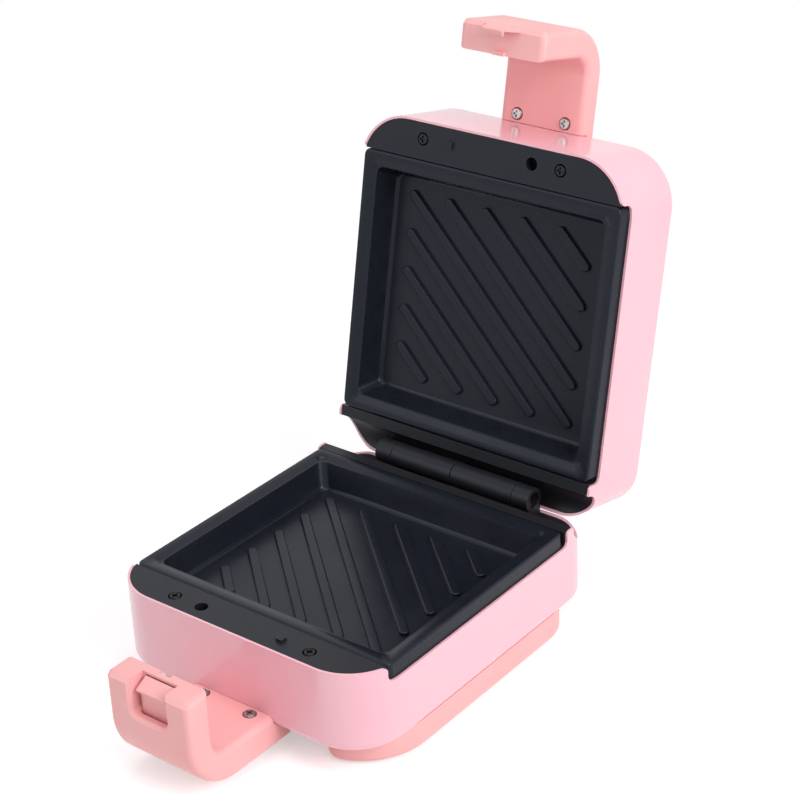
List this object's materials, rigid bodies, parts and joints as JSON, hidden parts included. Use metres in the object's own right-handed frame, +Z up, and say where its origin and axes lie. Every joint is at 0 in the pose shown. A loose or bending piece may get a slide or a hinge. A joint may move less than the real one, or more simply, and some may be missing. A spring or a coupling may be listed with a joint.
{
  "type": "sandwich press",
  "caption": "Small hinged sandwich press with grill-ribbed plates, a latching grip on the front and a plinth on rubber feet, shown open.",
  "frame": {"origin": "on the floor, under the middle of the open press's box", "axes": "+X along the hinge to the right as seen from the front, +Y to the rear, +Z up; mm in the source, metres in the row"},
  "size_m": [0.1326, 0.2732, 0.2381],
  "materials": {
    "shell_pink": "glossy moulded plastic",
    "trim_salmon": "satin moulded plastic",
    "panel_black": "fine-grained heat-resistant plastic",
    "plate_coating": "cast aluminium with a dark non-stick coat",
    "bright_steel": "plated steel",
    "dark_steel": "blackened steel",
    "heater_tube": "heat-tinted steel",
    "reflector_sheet": "bright pressed sheet",
    "foot_rubber": "matt rubber",
    "block_white": "white moulded terminal block",
    "lens_red": "clear red moulding",
    "lamp_glass": "clear glass bulb"
  },
  "bodies": {
    "base": {"base_shell": "shell_pink", "base_panel": "panel_black", "lower_plate": "plate_coating", "lower_heater": "heater_tube", "lower_reflector": "reflector_sheet", "lower_plate_screws": "dark_steel", "base_panel_screws": "dark_steel", "plinth": "trim_salmon", "plinth_screws": "dark_steel", "rubber_feet": "foot_rubber", "lower_handle": "trim_salmon", "lower_handle_screws": "bright_steel", "latch_pin": "bright_steel", "latch_spring": "bright_steel", "hinge_pin": "dark_steel", "cord_gland": "foot_rubber", "terminal_block": "block_white", "thermal_fuse": "heater_tube"},
    "lid": {"lid_shell": "shell_pink", "lid_panel": "panel_black", "upper_plate": "plate_coating", "upper_heater": "heater_tube", "upper_reflector": "reflector_sheet", "upper_plate_screws": "dark_steel", "lid_panel_screws": "dark_steel", "upper_handle": "trim_salmon", "upper_handle_screws": "bright_steel", "thermostat": "heater_tube", "indicator_lens": "lens_red", "indicator_lamp": "lamp_glass"},
    "latch": {"latch_tongue": "trim_salmon"}
  },
  "joints": [
    {"name": "lid_hinge", "type": "hinge", "parent": "base", "child": "lid", "pos_m": [0, 0.0555, 0.0492], "axis": [1, 0, 0], "range_deg": [0, 102]},
    {"name": "latch_rock", "type": "hinge", "parent": "base", "child": "latch", "pos_m": [0, -0.1306, 0.0272], "axis": [-1, 0, 0], "range_deg": [0, 4.5], "stiffness_Nm_per_rad": 0.4, "springref_deg": -2.86, "deforming": ["latch_spring"]}
  ]
}
